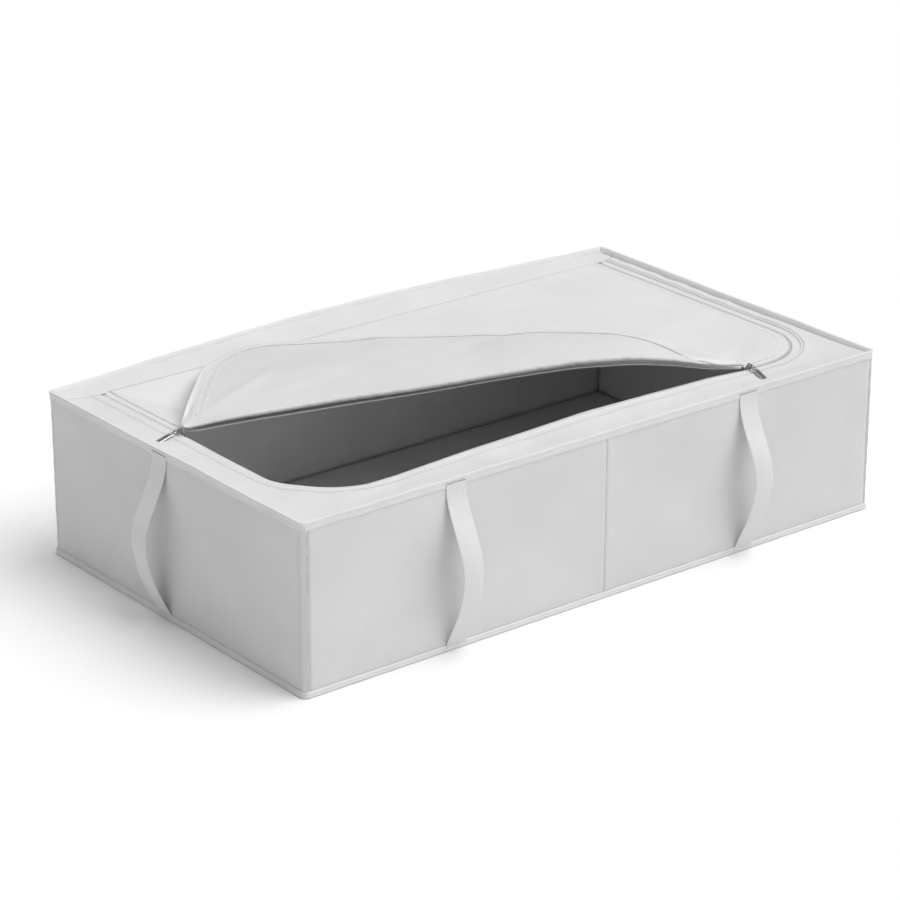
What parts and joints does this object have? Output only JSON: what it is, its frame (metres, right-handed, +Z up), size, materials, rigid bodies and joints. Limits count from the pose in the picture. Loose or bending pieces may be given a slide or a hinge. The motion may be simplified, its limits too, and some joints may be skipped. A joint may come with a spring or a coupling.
{
  "type": "under bed storage box",
  "caption": "Low fabric storage box for blankets under a bed: boarded walls, zipped soft lid with one corner folded back, and webbing carrying handles.",
  "frame": {"origin": "centre of the bottom face, on the floor", "axes": "+Z up; +X along the length, to the right seen from the front; the front with its carrying straps at -Y"},
  "size_m": [0.9948, 0.5824, 0.2566],
  "materials": {
    "cloth": "white plain-weave polyester, slightly silky",
    "lining": "white non-woven lining, matt",
    "board": "grey-brown pressed board",
    "binding": "white folded binding tape, stitched",
    "zip_tape": "white woven zip tape",
    "zip_teeth": "white nylon coil",
    "metal": "bright nickel plating",
    "webbing": "white woven webbing, matt"
  },
  "bodies": {
    "box": {"bottom_skin": "cloth", "front_skin": "cloth", "back_skin": "cloth", "left_skin": "cloth", "right_skin": "cloth", "bottom_board_left": "board", "bottom_board_right": "board", "front_board_left": "board", "front_board_right": "board", "back_board_left": "board", "back_board_right": "board", "left_board": "board", "right_board": "board", "bottom_lining": "lining", "front_lining": "lining", "back_lining": "lining", "left_lining": "lining", "right_lining": "lining", "corner_welt_front_left": "cloth", "corner_welt_front_right": "cloth", "corner_welt_back_left": "cloth", "corner_welt_back_right": "cloth", "top_border": "cloth", "rim_front": "binding", "rim_back": "binding", "rim_left": "binding", "rim_right": "binding", "bottom_binding_front": "binding", "bottom_binding_back": "binding", "bottom_binding_left": "binding", "bottom_binding_right": "binding", "frame_tape": "zip_tape", "frame_teeth": "zip_teeth", "frame_zip_stops": "metal", "front_left_handle_ends": "webbing", "front_right_handle_ends": "webbing", "left_handle_ends": "webbing", "right_handle_ends": "webbing"},
    "lid": {"lid_panel": "cloth", "left_lid_tape": "zip_tape", "right_lid_tape": "zip_tape", "left_lid_teeth": "zip_teeth", "right_lid_teeth": "zip_teeth", "lid_zip_stops": "metal"},
    "flap": {"flap_panel": "cloth", "flap_tape": "zip_tape", "flap_teeth": "zip_teeth"},
    "left_slider": {"left_slider_body": "metal", "left_slider_crown": "metal"},
    "right_slider": {"right_slider_body": "metal", "right_slider_crown": "metal"},
    "left_link": {"left_pull_link": "metal"},
    "right_link": {"right_pull_link": "metal"},
    "left_tab": {"left_pull_tab": "metal"},
    "right_tab": {"right_pull_tab": "metal"},
    "front_left_handle_loop": {"front_left_handle": "webbing"},
    "front_right_handle_loop": {"front_right_handle": "webbing"},
    "left_handle_loop": {"left_handle": "webbing"},
    "right_handle_loop": {"right_handle": "webbing"}
  },
  "joints": [
    {"name": "lid_turn", "type": "hinge", "parent": "box", "child": "lid", "pos_m": [0, 0.24, 0.21585], "axis": [-1, 0, 0], "range_deg": [0, 110]},
    {"name": "flap_fold", "type": "hinge", "parent": "lid", "child": "flap", "pos_m": [-0.404, 0.062, 0.218], "axis": [-0.9341, 0.3569, 0], "range_deg": [-180, 0]},
    {"name": "left_slider_run", "type": "slide", "parent": "box", "child": "left_slider", "axis": [0, 1, 0], "range_m": [-0.17, 0.16]},
    {"name": "right_slider_run", "type": "slide", "parent": "box", "child": "right_slider", "axis": [1, 0, 0], "range_m": [-0.6, 0.03]},
    {"name": "left_pull_lift", "type": "hinge", "parent": "left_slider", "child": "left_link", "pos_m": [-0.404, 0.062, 0.2211], "axis": [0, 1, 0], "range_deg": [0, 95]},
    {"name": "right_pull_lift", "type": "hinge", "parent": "right_slider", "child": "right_link", "pos_m": [0.3, -0.207, 0.2211], "axis": [-1, 0, 0], "range_deg": [0, 165]},
    {"name": "left_tab_swivel", "type": "hinge", "parent": "left_link", "child": "left_tab", "pos_m": [-0.41317, 0.062, 0.22039], "axis": [-0.0769, 0, 0.997], "range_deg": [-45, 20]},
    {"name": "right_tab_swivel", "type": "hinge", "parent": "right_link", "child": "right_tab", "pos_m": [0.3, -0.21617, 0.22039], "axis": [0, -0.0769, 0.997], "range_deg": [-20, 45]},
    {"name": "front_left_handle_swing", "type": "hinge", "parent": "box", "child": "front_left_handle_loop", "pos_m": [-0.237, -0.272, 0.1105], "axis": [0, 0, 1], "range_deg": [-35, 35]},
    {"name": "front_right_handle_swing", "type": "hinge", "parent": "box", "child": "front_right_handle_loop", "pos_m": [0.237, -0.272, 0.1105], "axis": [0, 0, 1], "range_deg": [-35, 35]},
    {"name": "left_handle_swing", "type": "hinge", "parent": "box", "child": "left_handle_loop", "pos_m": [-0.462, 0.02, 0.1105], "axis": [0, 0, 1], "range_deg": [-35, 35]},
    {"name": "right_handle_swing", "type": "hinge", "parent": "box", "child": "right_handle_loop", "pos_m": [0.462, 0.02, 0.1105], "axis": [0, 0, 1], "range_deg": [-35, 35]}
  ]
}
